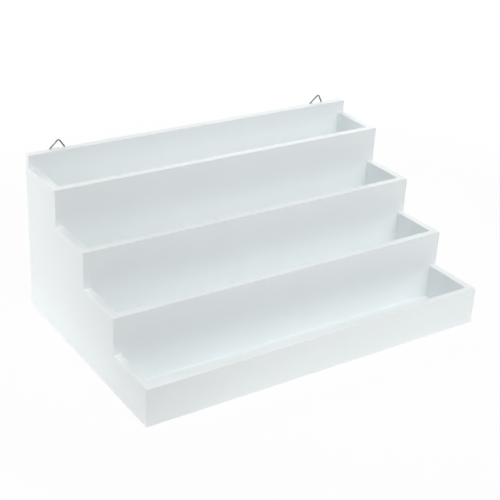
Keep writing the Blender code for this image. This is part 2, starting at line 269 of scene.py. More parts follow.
def paint(name, roughness, peel_scale, peel_depth):
    """Sprayed paint: clouded white, worn along the edges, with peel and dust in its skin."""
    material, tree, shader = new_material(name)
    scales = {"Peel Scale": peel_scale, "Cloud Scale": CLOUD_SCALE, "Dust Scale": DUST_SCALE}
    skin = add(tree, "Group", scales, node_tree=sprayed_skin).outputs
    worn = add(tree, "Group", {"Break Scale": BREAK_SCALE}, node_tree=worn_edges).outputs
    clouded = mix_of(tree, skin["Cloud"], WHITE, CLOUD_WHITE)
    colour = mix_of(tree, sum_of(tree, "MULTIPLY", worn["Thin"], THIN_SHARE), clouded, PRIMER)
    spread = (roughness - CLOUD_DULL, roughness + CLOUD_DULL)
    dull = range_of(tree, skin["Cloud"], 0.0, 1.0, *spread)
    polished = sum_of(tree, "MULTIPLY_ADD", worn["Polish"], -ARRIS_POLISH, dull)
    relief = sum_of(tree, "MULTIPLY_ADD", skin["Dust"], DUST_HEIGHT, skin["Peel"])
    coat(tree, shader, colour, polished, relief, peel_depth)
    return material


board_paint = paint("board_paint", roughness=0.45, peel_scale=700.0, peel_depth=0.00004)
floor_paint = paint("floor_paint", roughness=0.52, peel_scale=950.0, peel_depth=0.00005)
print("paints:", board_paint.name, floor_paint.name)

# %% [markdown]
# ## Steel
# Rings, straps, screws and brads are all plain steel with a thin dull plating, each a little
# different: the rings are the darkest, nearly gunmetal. The lines of the drawing or rolling change
# the roughness and stand up as a very fine bump, and the dull patches darken the colour. Metal has
# no colour of its own apart from its reflections, so Metallic is 1 and the base colour is its tint.

# %% Metal
LINE_SPAN = (0.3, 0.7)  # most of the lines' noise lies between these
LINE_ROUGHNESS = 0.08  # how far the lines move the roughness, either way
DULL_ROUGHNESS = 0.10  # how much rougher a dull patch is
WIRE_SQUEEZE = 0.02  # a wire's length against its section, in its coordinates


def steel(name, bright, dull, roughness, line_depth, coordinates, line_scale, patch_scale):
    """Plated steel. The coordinates function adds the nodes that lay the lines along the piece."""
    material, tree, shader = new_material(name)
    shader.inputs["Metallic"].default_value = 1.0
    where = {"Vector": coordinates(tree), "Line Scale": line_scale, "Patch Scale": patch_scale}
    marks = add(tree, "Group", where, node_tree=drawn_metal).outputs
    colour = mix_of(tree, marks["Dull"], bright, dull)
    spread = (roughness - LINE_ROUGHNESS, roughness + LINE_ROUGHNESS)
    lined = range_of(tree, marks["Lines"], *LINE_SPAN, *spread)
    rough = sum_of(tree, "MULTIPLY_ADD", marks["Dull"], DULL_ROUGHNESS, lined)
    coat(tree, shader, colour, rough, marks["Lines"], line_depth)
    return material


def stretched(*scale):
    """Coordinates of the box itself, squeezed along the way that the lines run."""

    def coordinates(tree):
        spot = out(tree, "TexCoord", socket="Object")
        return out(tree, "Mapping", {"Vector": spot, "Scale": scale})

    return coordinates


def along_wire(tree):
    """Coordinates that follow a bent wire: its own length, squeezed, and its round section."""
    length = out(tree, "Attribute", socket="Fac", attribute_name="along")
    section = out(tree, "Attribute", socket="Vector", attribute_name="section")
    parts = add(tree, "SeparateXYZ", {"Vector": section}).outputs
    squeezed = sum_of(tree, "MULTIPLY", length, WIRE_SQUEEZE)
    return out(tree, "CombineXYZ", {"X": squeezed, "Y": parts["X"], "Z": parts["Y"]})


print("metal helpers ready")

# %% Four steels
TINTS = {  # bright and dull
    "strap": ((0.56, 0.57, 0.59, 1.0), (0.40, 0.41, 0.42, 1.0)),
    "ring": ((0.22, 0.22, 0.23, 1.0), (0.13, 0.13, 0.135, 1.0)),
    "screw": ((0.58, 0.58, 0.57, 1.0), (0.38, 0.38, 0.37, 1.0)),
    "brad": ((0.52, 0.52, 0.52, 1.0), (0.36, 0.35, 0.34, 1.0)),
}
MARKS = {  # roughness, depth and coordinates of the lines, scale of lines and of patches
    "strap": (0.34, 2e-6, stretched(1, 1, 0.03), 9e3, 150.0),
    "ring": (0.36, 2e-6, along_wire, 8e3, 400.0),
    "screw": (0.30, 1e-6, stretched(1, 0.2, 1), 6e3, 500.0),
    "brad": (0.40, 1e-6, stretched(0.1, 1, 1), 7e3, 300.0),
}
steels = {name: steel(f"plated_{name}", *TINTS[name], *MARKS[name]) for name in TINTS}
print("steels:", [material.name for material in steels.values()])

# %% [markdown]
# ## Boards with eased arrises
# A painter's eye finds the edges first: a sharp CAD edge never catches the light, while a real
# board has its arrises rubbed down before painting. Only edges that stand free are rounded. Where
# two boards meet flush, the joint is a hairline with a tiny chamfer. A Bevel modifier would round
# whole edges, but here an edge can be free over one stretch and glued over the next, so the mesh is
# sliced where the finish changes and the edges are picked by place.

# %% Board helpers
ARRIS = 0.0006
EASED = {"offset": ARRIS, "segments": 4}
CHAMFERED = {"offset": 0.00008, "segments": 1}
SANDED = {"offset": 0.0002, "segments": 2}
QUARTER_ROUND = {"profile": 0.5, "affect": "EDGES", "clamp_overlap": True}
SAME = 0.00001  # two places closer than this are one
CREASE = radians(40)
BACKWARD = Vector((0.0, 1.0, 0.0))
UPWARD = Vector((0.0, 0.0, 1.0))


def add_box(shape, low, high):
    """Adds a box between two corners to a shape."""
    place = Matrix.Translation((low + high) / 2) @ Matrix.Diagonal((*(high - low), 1.0))
    return bmesh.ops.create_cube(shape, size=1.0, matrix=place)["verts"]


def box_shape(low, high):
    """A box to work on, with the mark for its arrises."""
    shape = bmesh.new()
    add_box(shape, low, high)
    shape.faces.layers.float.new("arris")
    return shape


def slice_at(shape, across, place):
    """Cuts the faces along a plane, so that an edge may change its finish there."""
    parts = shape.verts[:] + shape.edges[:] + shape.faces[:]
    bmesh.ops.bisect_plane(shape, geom=parts, dist=SAME, plane_co=across * place, plane_no=across)


def clean(shape, distance):
    """Merges doubled points and turns the faces outwards."""
    bmesh.ops.remove_doubles(shape, verts=shape.verts, dist=distance)
    bmesh.ops.recalc_face_normals(shape, faces=shape.faces)


def ease(shape, chosen, finish):
    """Rounds the outward edges whose middles are chosen, and marks what is rounded."""
    edges = []
    for edge in shape.edges:
        middle = (edge.verts[0].co + edge.verts[1].co) / 2
        if edge.calc_face_angle_signed(0.0) > CREASE and chosen(middle):
            edges.append(edge)
    made = bmesh.ops.bevel(shape, geom=edges, **finish, **QUARTER_ROUND)
    mark = shape.faces.layers.float["arris"]
    for face in made["faces"]:
        face[mark] = 1.0


# %% [markdown]
# A finished piece is a plain mesh at the origin with its place in its points. Turning the evaluated
# object into a mesh keeps what its modifiers did and drops them. A mesh that was born inside a node
# tree brings an empty material slot along, which is taken out, so that faces made later don't land
# in it. Then the piece is hung on its body, and the node that it stands for is hidden.

# %% From a shape to a piece
def mesh_from(shape, name, *materials):
    """The mesh of a shape, which is let go."""
    mesh = bpy.data.meshes.new(name)
    shape.to_mesh(mesh)
    shape.free()
    for material in materials:
        mesh.materials.append(material)
    return mesh


def show(name, mesh):
    item = bpy.data.objects.new(name, mesh)
    scene.collection.objects.link(item)
    return item


def modify(item, kind, name, **options):
    """Adds a modifier to an object and sets its options."""
    modifier = item.modifiers.new(name, kind)
    for option, value in options.items():
        setattr(modifier, option, value)
    return modifier


def settle(item, *cutters):
    """The evaluated object as a plain mesh, without modifiers, cutters and empty slots."""
    graph = bpy.context.evaluated_depsgraph_get()
    ready = item.evaluated_get(graph)
    mesh = bpy.data.meshes.new_from_object(ready, preserve_all_data_layers=True, depsgraph=graph)
    for slot in reversed(range(len(mesh.materials))):
        if mesh.materials[slot] is None:
            mesh.materials.pop(index=slot)
    item.modifiers.clear()
    item.data = mesh
    mesh.name = item.name
    for cutter in cutters:
        bpy.data.objects.remove(cutter)
    return mesh


def dress(item, body, slot, *nodes):
    """Hangs a finished piece on its body, in place of its nodes."""
    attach(item, body)
    if nodes:
        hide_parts(*nodes)
    print(item.name, "rides on", body, "with", len(item.data.polygons), "faces")


print("piece helpers ready")

# %% [markdown]
# Smooth shading alone would bend the light over the large flat faces of a board. The Weighted
# Normal modifier lets the flats rule and leaves all the turning to the narrow arrises.

# %% Finish a board
def even_shading(item):
    item.data.shade_smooth()
    item.data.set_sharp_from_angle(angle=CREASE)
    modify(item, "WEIGHTED_NORMAL", "even_shading", keep_sharp=True)
    settle(item)


def finish_board(shape, name, material):
    item = show(name, mesh_from(shape, name, material))
    even_shading(item)
    return item


print("board helpers ready")

# %% [markdown]
# ## Front boards
# The lip closes the lowest compartment, and each taller riser is the back of one compartment and
# the front of the next. They stand between the side panels, flush with the panels' stepped front
# edges. Their long top edges are free on both sides. Their ends are glued, so only the flush part
# of each end gets the joint's tiny chamfer.

# %% Make the front boards
for tier, (low, high) in enumerate(fronts, start=1):
    low = low - Vector((closing, 0.0, 0.0))
    high = high + Vector((closing, 0.0, 0.0))
    shape = box_shape(low, high)
    foot_is_free = tier == 1

    def free(middle):
        at_end = abs(middle.x) > high.x - SAME
        at_top = middle.z > high.z - SAME
        at_foot = middle.z < low.z + SAME
        in_front = middle.y < low.y + SAME
        return not at_end and (at_top or (at_foot and in_front == foot_is_free))

    def flush(middle):
        at_end = abs(middle.x) > high.x - SAME
        return at_end and (middle.y < low.y + ARRIS or middle.z > high.z - ARRIS)

    ease(shape, free, EASED)
    ease(shape, flush, CHAMFERED)
    piece = finish_board(shape, f"painted_tier_{tier}_front", board_paint)
    dress(piece, "box", "white_paint", f"tier_{tier}_front_board")

# %% [markdown]
# ## Compartment floors
# The floors are thin fibreboard. Their ends slide into grooves in the side panels, and their long
# edges butt against the front boards. They keep their crisp cut edges, only broken by sanding.

# %% Make the floors
for tier, (low, high) in enumerate(floors, start=1):
    reach = Vector((0.0, closing, 0.0))
    shape = box_shape(low - reach, high + reach)
    ease(shape, lambda middle: True, SANDED)
    piece = finish_board(shape, f"painted_tier_{tier}_floor", floor_paint)
    dress(piece, "box", "thin_white_board", f"tier_{tier}_floor")

# %% [markdown]
# ## Back panel
# One board over the full width. It covers the rear edges of the side panels and stands above them.
# Its ends are flush with the side panels' outer faces up to the panels' top, so the upright front
# edges change from a glued joint to a free arris at that height.

# %% Make the back panel
shape = box_shape(back_low, back_high)
slice_at(shape, UPWARD, panel_high.z)


def glued_to_panel(middle):
    upright_front = middle.y < back_low.y + SAME and abs(middle.x) > half_width - ARRIS
    return upright_front and middle.z < panel_high.z


ease(shape, lambda middle: not glued_to_panel(middle), EASED)
ease(shape, glued_to_panel, CHAMFERED)
piece = finish_board(shape, "painted_back_panel", board_paint)
dress(piece, "box", "white_paint", "back_panel")

# %% [markdown]
# ## Stepped side panels
# The panel's outline follows a rule: the same rise and pitch again and again, from the lip to the
# back. That is work for Geometry Nodes. A line of points is bent into the outline by sums on each
# point's index, filled, and given its thickness. Points come in pairs, the foot and the top of one
# step, and the last pair closes the outline at the rear. The tree's inputs are the sizes that a
# joiner would mark out. Three helpers come first, which later trees use too.

# %% Tree helpers
def new_tree(name, *inputs):
    """A Geometry Nodes tree with its inputs: geometry goes in and comes out."""
    return new_group("GeometryNodeTree", name, ["Geometry", *inputs], ["Geometry"])


def closed_curve(node, count, place):
    """A closed curve through a number of points, each put in its place."""
    points = node("MeshLine", {"Count": count})
    drawn = node("SetPosition", {"Geometry": points, "Position": place})
    curve = node("MeshToCurve", {"Mesh": drawn})
    return node("SetSplineCyclic", {"Geometry": curve, "Cyclic": True})


def end_tree(tree, leave, geometry, material):
    """Makes instances real, sets the material and leads the result out of the tree."""
    whole = out(tree, "RealizeInstances", {"Geometry": geometry})
    coated = out(tree, "SetMaterial", {"Geometry": whole, "Material": material})
    tree.links.new(coated, leave["Geometry"])
    print("tree:", tree.name, "with", len(tree.nodes), "nodes")


print("tree helpers ready")

# %% The rule of the stepped outline
FIRST = 0.5  # between the first number, 0, and the next
panel_sizes = {
    "Lip Height": fronts[0][1].z,
    "Tier Rise": fronts[1][1].z - fronts[0][1].z,
    "Lowest Pitch": fronts[1][0].y - fronts[0][0].y,
    "Tier Pitch": fronts[2][0].y - fronts[1][0].y,
    "Depth": panel_high.y + closing - panel_low.y,
    "Thickness": board,
}
stepped_panel, entry, leave, node = new_tree(
    "Stepped Panel", "Tiers", *panel_sizes, "Corner", "Paint"
)
calc = partial(sum_of, stepped_panel)
index = node("InputIndex")
step = calc("FLOOR", calc("DIVIDE", index, 2.0))
is_top = calc("MODULO", index, 2.0)
beyond_first = calc("SUBTRACT", step, 1.0)
run = calc("MULTIPLY_ADD", beyond_first, entry["Tier Pitch"], entry["Lowest Pitch"])
run = calc("MULTIPLY", run, calc("GREATER_THAN", step, FIRST))
run = calc("MINIMUM", run, entry["Depth"])
rises = calc("ADD", beyond_first, is_top)
height = calc("MULTIPLY_ADD", rises, entry["Tier Rise"], entry["Lip Height"])
last = calc("MULTIPLY_ADD", entry["Tiers"], 2.0, 1.0)
after_first = calc("GREATER_THAN", index, FIRST)
before_last = calc("LESS_THAN", index, last)
height = calc("MULTIPLY", height, calc("MULTIPLY", after_first, before_last))
outline_point = node("ShaderNodeCombineXYZ", {"X": run, "Y": height})

# %% [markdown]
# Fill Curve works in the XY plane, so the outline is drawn there, thickened along Z, and stood up
# by a turn that takes X to Y, Y to Z and Z to X. Extrude Mesh leaves the first face behind as an
# open bottom, so a flipped copy closes it.

# %% Fill, thicken and stand the outline up
STAND_UP = (pi / 2, 0.0, pi / 2)
outline = closed_curve(node, calc("ADD", last, 1.0), outline_point)
face = node("FillCurve", {"Curve": outline}, mode="NGONS")
pull = {"Mesh": face, "Offset Scale": entry["Thickness"], "Individual": False}
thick = node("ExtrudeMesh", pull)
bottom = node("FlipFaces", {"Mesh": face})
both = add(stepped_panel, "JoinGeometry", {"Geometry": thick})
stepped_panel.links.new(bottom, both.inputs["Geometry"])
welded = node("MergeByDistance", {"Geometry": both.outputs[0], "Distance": SAME})
stand = {"Geometry": welded, "Translation": entry["Corner"], "Rotation": STAND_UP}
end_tree(stepped_panel, leave, node("Transform", stand), entry["Paint"])

# %% [markdown]
# The tree runs as a modifier. Its inputs are set by each socket's identifier before the object is
# first evaluated. A Boolean after it cuts the grooves that hold the floors' ends, a hair wider than
# the floors themselves.

# %% Run a tree, and cut a piece
def run_tree(item, tree, values):
    """Adds the tree to an object and sets its named inputs."""
    modifier = modify(item, "NODES", tree.name, node_group=tree)
    for socket in tree.interface.items_tree:
        if socket.in_out == "INPUT" and socket.name in values:
            modifier[socket.identifier] = values[socket.name]


def trim(item, operation, cutter):
    modify(item, "BOOLEAN", cutter.name, operation=operation, object=cutter, solver="EXACT")


GROOVE_ROOM = 0.0001
room = Vector((GROOVE_ROOM, gap, GROOVE_ROOM))
shape = bmesh.new()
for low, high in floors:
    add_box(shape, low - room, high + room)
groove_cutter = show("groove_cutter", mesh_from(shape, "groove_cutter"))
print("grooves to cut:", len(floors))

# %% [markdown]
# The panel's outer outline is free all round except along the back panel. Its inner outline is free
# only between the front boards, and the mouths of the grooves stay as they were cut. Each rule is a
# question about the middle of an edge.

# %% Tell the panel's edges apart
def glued_to_front(point):
    inside = abs(abs(point.x) - inner_half) < SAME
    return inside and any(low.y - SAME < point.y < high.y + SAME for low, high in fronts)


def in_groove(point):
    room = Vector((0.0, 2 * gap, gap))
    mouths = [(low - room, high + room) for low, high in floors]
    return any(low.y < point.y < high.y and low.z < point.z < high.z for low, high in mouths)


def at_back(point):
    return point.y > panel_high.y


def panel_free(middle):
    return not (at_back(middle) or in_groove(middle) or glued_to_front(middle))


def panel_flush(middle):
    beside_back = at_back(middle) and abs(middle.x) > half_width - SAME
    return beside_back or (glued_to_front(middle) and not in_groove(middle))


print("edge rules ready")

# %% [markdown]
# Slicing the panel at both faces of every front board lets each stretch of edge have its own
# finish. The Boolean leaves a few points twice, which are merged before any edge is rounded.

# %% Make the side panels
for side, low_x in (("left", -half_width), ("right", inner_half)):
    piece = show(f"painted_{side}_side", bpy.data.meshes.new("outline"))
    marks = {"Tiers": tiers, "Paint": board_paint, "Corner": (low_x, panel_low.y, 0.0)}
    run_tree(piece, stepped_panel, {**panel_sizes, **marks})
    trim(piece, "DIFFERENCE", groove_cutter)
    shape = bmesh.new()
    shape.from_mesh(settle(piece))
    shape.faces.layers.float.new("arris")
    clean(shape, SAME)
    for low, high in fronts:
        slice_at(shape, BACKWARD, low.y)
        slice_at(shape, BACKWARD, high.y)
    ease(shape, panel_free, EASED)
    ease(shape, panel_flush, CHAMFERED)
    bmesh.ops.dissolve_degenerate(shape, edges=shape.edges, dist=SAME / 10)
    shape.to_mesh(piece.data)
    shape.free()
    even_shading(piece)
    dress(piece, "box", "white_paint", f"{side}_side_panel")
bpy.data.objects.remove(groove_cutter)

# %% [markdown]
# ## Paint in the corners
# Wet paint creeps into every inside corner and dries there as a small hollow fillet, which is why a
# painted box shows soft corners and no open joints. Each corner is a straight line with a direction
# that points into the open air. A Geometry Nodes tree sweeps a hollow section along all of the
# lines, turned to face that way.

# %% List the corners
corner_lines = []
for tier in range(tiers):
    front_y = fronts[tier][1].y
    rear_y = fronts[tier + 1][0].y if tier + 1 < tiers else back_low.y
    floor_z = floors[tier][1].z
    rim_z = fronts[tier][1].z
    for y, open_y in ((front_y, 1), (rear_y, -1)):
        corner_lines.append(((-inner_half, y, floor_z), (inner_half, y, floor_z), (0, open_y, 1)))
    for side in (-1, 1):
        x = side * inner_half
        corner_lines.append(((x, front_y, floor_z), (x, rear_y, floor_z), (-side, 0, 1)))
        for y, open_y in ((front_y, 1), (rear_y, -1)):
            corner_lines.append(((x, y, floor_z), (x, y, rim_z - ARRIS), (-side, open_y, 0)))
print("inside corners:", len(corner_lines))

# %% [markdown]
# The section is a quarter of a hollow circle, closed behind by one point sunk into the corner, so
# each fillet is a solid bead that grows out of the boards. Its points come from sums on their
# index, like the panel's outline.

# %% The hollow section
FILLET_POINTS = 7
corner_fillet, entry, leave, node = new_tree("Corner Fillet", "Radius", "Sunk", "Paint")
calc = partial(sum_of, corner_fillet)
index = node("InputIndex")
turn = range_of(corner_fillet, index, 0.0, FILLET_POINTS - 1.0, -pi / 4, pi / 4)
in_arc = calc("LESS_THAN", index, FILLET_POINTS - FIRST)
from_centre = calc("SUBTRACT", sqrt(2), calc("COSINE", turn))
outward = calc("MULTIPLY", from_centre, entry["Radius"])
sunk = calc("MULTIPLY", entry["Sunk"], -1.0)
outward = node("ShaderNodeMix", {"Factor": in_arc, "A": sunk, "B": outward})
sideways = calc("MULTIPLY", calc("SINE", turn), entry["Radius"])
sideways = calc("MULTIPLY", sideways, in_arc)
section_point = node("ShaderNodeCombineXYZ", {"X": outward, "Y": sideways})
section = closed_curve(node, FILLET_POINTS + 1, section_point)
print("section of", FILLET_POINTS + 1, "points ready")

# %% [markdown]
# Curve to Mesh lays the section across the curve's normal. Left alone, the normal of a straight
# line is arbitrary, so it is set from the attribute that holds the open direction.

# %% Sweep the section
path = node("MeshToCurve", {"Mesh": entry["Geometry"]})
open_side = node("InputNamedAttribute", {"Name": "open_side"}, data_type="FLOAT_VECTOR")
path = node("SetCurveNormal", {"Curve": path, "Normal": open_side}, mode="FREE")
sweep = {"Curve": path, "Profile Curve": section, "Fill Caps": True}
end_tree(corner_fillet, leave, node("CurveToMesh", sweep), entry["Paint"])

# %% [markdown]
# A tree needs something to start from: a mesh of bare points and lines, with any direction that a
# point carries stored as an attribute. What the tree makes of it is settled into a plain mesh with
# its faces turned outwards.

# %% Grow a piece from a tree
def outward_mesh(mesh):
    """Cleans a mesh, and keeps its hard edges hard."""
    shape = bmesh.new()
    shape.from_mesh(mesh)
    clean(shape, SAME / 10)
    shape.to_mesh(mesh)
    shape.free()
    mesh.shade_smooth()
    mesh.set_sharp_from_angle(angle=CREASE)


def grow(name, points, lines, tree, values, **vectors):
    """What a tree makes of points and lines, with a direction at each point if one is named."""
    path = bpy.data.meshes.new(f"{name}_path")
    path.from_pydata(points, lines, [])
    for label, directions in vectors.items():
        attribute = path.attributes.new(label, "FLOAT_VECTOR", "POINT")
        for point, direction in zip(attribute.data, directions):
            point.vector = direction
    item = show(name, path)
    run_tree(item, tree, values)
    outward_mesh(settle(item))
    return item


BEAD = {"Radius": 0.0005, "Sunk": 0.000125, "Paint": board_paint}
ends = [end for start, stop, _ in corner_lines for end in (start, stop)]
pairs = [(first, first + 1) for first in range(0, len(ends), 2)]
ways = [Vector(way).normalized() for *_, way in corner_lines for _ in range(2)]
fillets = grow("paint_in_corners", ends, pairs, corner_fillet, BEAD, open_side=ways)
dress(fillets, "box", "white_paint")

# %% [markdown]
# ## Filled brad holes
# Brads hold the boards together. Their heads are sunk, filled and painted over, which leaves a
# barely raised spot of filler. A tree puts a low dome on each point, turned to face out of the
# board, with a seed that makes no two quite alike.

# %% Build the filled hole tree
BALL = {"Segments": 16, "Rings": 8, "Radius": 1.0}
filled_holes, entry, leave, node = new_tree("Filled Holes", "Radius", "Crown", "Seed", "Paint")
low_dome = {"X": entry["Radius"], "Y": entry["Radius"], "Z": entry["Crown"]}
flat = {"Geometry": node("MeshUVSphere", BALL), "Scale": node("ShaderNodeCombineXYZ", low_dome)}
facing = node("InputNamedAttribute", {"Name": "facing"}, data_type="FLOAT_VECTOR")
uneven = {"Min": 0.8, "Max": 1.2, "Seed": entry["Seed"]}
spots = {
    "Points": entry["Geometry"],
    "Instance": node("Transform", flat),
    "Rotation": node("FunctionNodeAlignRotationToVector", {"Vector": facing}),
    "Scale": node("FunctionNodeRandomValue", uneven, "Value"),
}
end_tree(filled_holes, leave, node("InstanceOnPoints", spots), entry["Paint"])

# %% [markdown]
# The spots lie over the brads, which the frame gives, and face out of the side panels or the back.
# The brads themselves are right as they are, closed inside the wood. They only get their steel.

# %% Fill the holes
FILLER = {"Radius": 0.0016, "Crown": 0.00006, "Seed": 4, "Paint": board_paint}
brads = sorted(name for name in frame["nodes"] if name.startswith("brad_"))
spots = []
for name in brads:
    frame["nodes"][name].material_slots[0].material = steels["brad"]
    low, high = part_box(name)
    middle = (low + high) / 2
    side = 1 if middle.x > 0 else -1
    if name.startswith("brad_back"):
        spots.append(((middle.x, back_high.y, middle.z), BACKWARD))
    else:
        spots.append(((side * half_width, middle.y, middle.z), (side, 0, 0)))
points, ways = zip(*spots)
fillings = grow("filled_brad_holes", points, [], filled_holes, FILLER, facing=ways)
dress(fillings, "box", "white_paint")
print("brads and spots:", len(brads))

# %% [markdown]
# ## Hanging rings
# Each ring is one wire bent to a triangle, with its two ends meeting inside the strap's eye. The
# path is drawn with sharp corners, and the tree rounds them and sweeps a circle along it. It also
# stores how far along the wire each point lies and where it sits in the round section, so that the
# drawn lines of the steel can follow every bend.

# %% Build the bent wire tree
BEND_STEPS = 12
WIRE_SIDES = 20
bent_wire, entry, leave, node = new_tree("Bent Wire", "Wire", "Bend", "Metal")
path = node("MeshToCurve", {"Mesh": entry["Geometry"]})
bends = {"Curve": path, "Count": BEND_STEPS, "Radius": entry["Bend"]}
path = node("FilletCurve", bends, mode="POLY")
length = node("SplineParameter", socket="Length")
path = node("StoreNamedAttribute", {"Geometry": path, "Name": "along", "Value": length})
half_wire = sum_of(bent_wire, "MULTIPLY", entry["Wire"], 0.5)
circle = node("CurvePrimitiveCircle", {"Resolution": WIRE_SIDES, "Radius": half_wire})
inside = {"Geometry": circle, "Name": "section", "Value": node("InputPosition")}
circle = node("StoreNamedAttribute", inside, data_type="FLOAT_VECTOR")
sweep = {"Curve": path, "Profile Curve": circle, "Fill Caps": True}
end_tree(bent_wire, leave, node("CurveToMesh", sweep), entry["Metal"])

# %% [markdown]
# The ring's bar lies on its joint's axis. The reach and the lean of the triangle come from the
# packed ring's box: its top is the reach above the axis, and its front is how far it leans over the
# back panel's edge.

# %% Bend the rings
WIRE = 0.0016
RING_BEND = 0.0020
RING_LEG_ANGLE = radians(55.4)  # between the bar and a leg
WIRE_ENDS = 0.0002  # between the wire's two ends
ring_wire = {"Wire": WIRE, "Bend": RING_BEND, "Metal": steels["ring"]}
hangers = []
for joint in frame["joints"]:
    hangers.append((joint["child"].split("_")[0], joint["child"], Vector(joint["pos_m"])))
for side, body, axis in hangers:
    low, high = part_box(f"{side}_hanger_ring")
    forward = axis.y - low.y - WIRE / 2
    upward = high.z - axis.z - WIRE / 2
    lean = atan2(forward, upward)
    height = hypot(forward, upward) + RING_BEND / cos(RING_LEG_ANGLE) - RING_BEND
    half_bar = height / tan(RING_LEG_ANGLE)
    corners = [(WIRE_ENDS / 2, 0), (half_bar, 0), (0, height), (-half_bar, 0), (-WIRE_ENDS / 2, 0)]
    points = [axis + Vector((x, -z * sin(lean), z * cos(lean))) for x, z in corners]
    lines = [(first, first + 1) for first in range(len(points) - 1)]
    ring = grow(f"{side}_ring_wire", points, lines, bent_wire, ring_wire)
    dress(ring, body, "ring_steel", f"{side}_hanger_ring")

# %% [markdown]
# ## Hanger straps
# A strap is a strip of sheet steel, rolled at the top into an eye for the ring's bar and rounded
# off below its screw. The strip is drawn as a line seen from the side and pulled out to its width.

# %% Strap helpers
SHEET = 0.0008
EYE_WRAP = radians(275)
EYE_STEPS = 40
END_STEPS = 32
PAST = 0.002  # how far a cutter runs beyond what it cuts


def arc(x, z, radius, start, sweep, steps):
    """Points of an arc about a middle."""
    turns = [start + sweep * step / steps for step in range(steps + 1)]
    return [(x + radius * cos(turn), z + radius * sin(turn)) for turn in turns]


def chain(shape, places):
    """A row of points in a shape, and the edges that join them."""
    row = [shape.verts.new(place) for place in places]
    return row, [shape.edges.new(pair) for pair in zip(row, row[1:])]


def pull_out(shape, swept, way):
    """Moves the points that an extrusion has made."""
    moved = [item for item in swept["geom"] if isinstance(item, bmesh.types.BMVert)]
    bmesh.ops.translate(shape, verts=moved, vec=way)


def prism(name, outline, start_y, end_y):
    """A solid from an outline in the XZ plane, between two distances back."""
    shape = bmesh.new()
    face = shape.faces.new([shape.verts.new((x, start_y, z)) for x, z in outline])
    swept = bmesh.ops.extrude_face_region(shape, geom=[face])
    pull_out(shape, swept, (0.0, end_y - start_y, 0.0))
    bmesh.ops.recalc_face_normals(shape, faces=shape.faces)
    return show(name, mesh_from(shape, name))


def rolled_strip(axis, low, high, sheet):
    """The middle of the sheet: straight up from below its end, then round the eye."""
    half = (high.x - low.x) / 2
    middle = (high.y - low.y) / 2 - SHEET + sheet / 2
    eye = arc(axis.y, axis.z, middle, pi, -EYE_WRAP, EYE_STEPS)
    path = [(axis.y - middle, low.z - PAST)] + eye
    shape = bmesh.new()
    _, edges = chain(shape, [(axis.x - half, y, z) for y, z in path])
    pull_out(shape, bmesh.ops.extrude_edge_only(shape, edges=edges), (2 * half, 0.0, 0.0))
    return mesh_from(shape, "strip", steels["strap"])


# %% [markdown]
# Solidify gives the strip its thickness. Two Booleans trim the round end and punch the hole, and a
# narrow Bevel breaks the edges that the shears left.

# %% Roll the straps
PUNCH_ROOM = 0.0003
SHANK_SHARE = 0.5  # a screw's shank against its head
BROKEN = {"width": 0.00012, "segments": 2, "limit_method": "ANGLE", "angle_limit": radians(50)}


def strap_cutters(axis, low, high, screw_low, screw_high):
    """The outline with its round end, and the screw's hole."""
    half = (high.x - low.x) / 2
    wide = half + PAST
    top = high.z + PAST
    screw_z = (screw_low.z + screw_high.z) / 2
    shank = (screw_high.x - screw_low.x) / 2 * SHANK_SHARE + PUNCH_ROOM
    outline = [(axis.x + wide, top), (axis.x - wide, top), (axis.x - wide, screw_z)]
    outline += arc(axis.x, screw_z, half, pi, pi, END_STEPS) + [(axis.x + wide, screw_z)]
    hole = arc(axis.x, screw_z, shank, 0.0, 2 * pi, END_STEPS)[:-1]
    cut_outline = prism("strap_outline", outline, low.y - PAST, high.y + PAST)
    return cut_outline, prism("strap_hole", hole, low.y - PAST, axis.y)


for side, _, axis in hangers:
    strap_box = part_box(f"{side}_hanger_strap")
    sheet = SHEET + closing
    strap = show(f"{side}_strap_sheet", rolled_strip(axis, *strap_box, sheet))
    modify(strap, "SOLIDIFY", "sheet", thickness=sheet, offset=0.0, use_even_offset=True)
    cutters = strap_cutters(axis, *strap_box, *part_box(f"{side}_hanger_screw"))
    for operation, cutter in zip(("INTERSECT", "DIFFERENCE"), cutters):
        trim(strap, operation, cutter)
    modify(strap, "BEVEL", "broken_edges", **BROKEN)
    outward_mesh(settle(strap, *cutters))
    dress(strap, "box", "strap_steel", f"{side}_hanger_strap")

# %% [markdown]
# ## Hanger screws
# A small pan head screw pins each strap to the back panel, with its head seated on the strap. Its
# half section is turned about the screw's axis, and a tapered cross is cut into the head.

# %% Screw helpers
SCREW_STEPS = 40
CROWN_STEPS = 8
HEAD_RIM = 0.0006
RIM_ROUND = 0.00025
RECESS = 0.0030  # across the cross at the head's face
RECESS_SLOT = 0.0007
RECESS_DEEP = 0.0009
RECESS_TAPER = 0.55  # size of the cross at its bottom


def screw_section(head, head_height, length, shank):
    """Half section from the head's top to the point, as radius and distance behind the seat."""
    dome = head_height - HEAD_RIM
    crown = [pi / 2 * step / CROWN_STEPS for step in range(CROWN_STEPS)]
    points = [(head * sin(turn), HEAD_RIM + dome * cos(turn)) for turn in crown]
    points += [(head, HEAD_RIM), (head, RIM_ROUND), (head - RIM_ROUND, -closing)]
    return points + [(shank, -closing), (shank, shank - length), (0.0, -length)]


def turned(centre, section):
    """A half section turned about an axis that runs back through the centre."""
    shape = bmesh.new()
    row, edges = chain(shape, [centre + Vector((radius, back, 0.0)) for radius, back in section])
    around = {"cent": centre, "axis": BACKWARD, "angle": 2 * pi, "steps": SCREW_STEPS}
    bmesh.ops.spin(shape, geom=row + edges, use_merge=True, **around)
    clean(shape, SAME)
    return mesh_from(shape, "screw", steels["screw"])


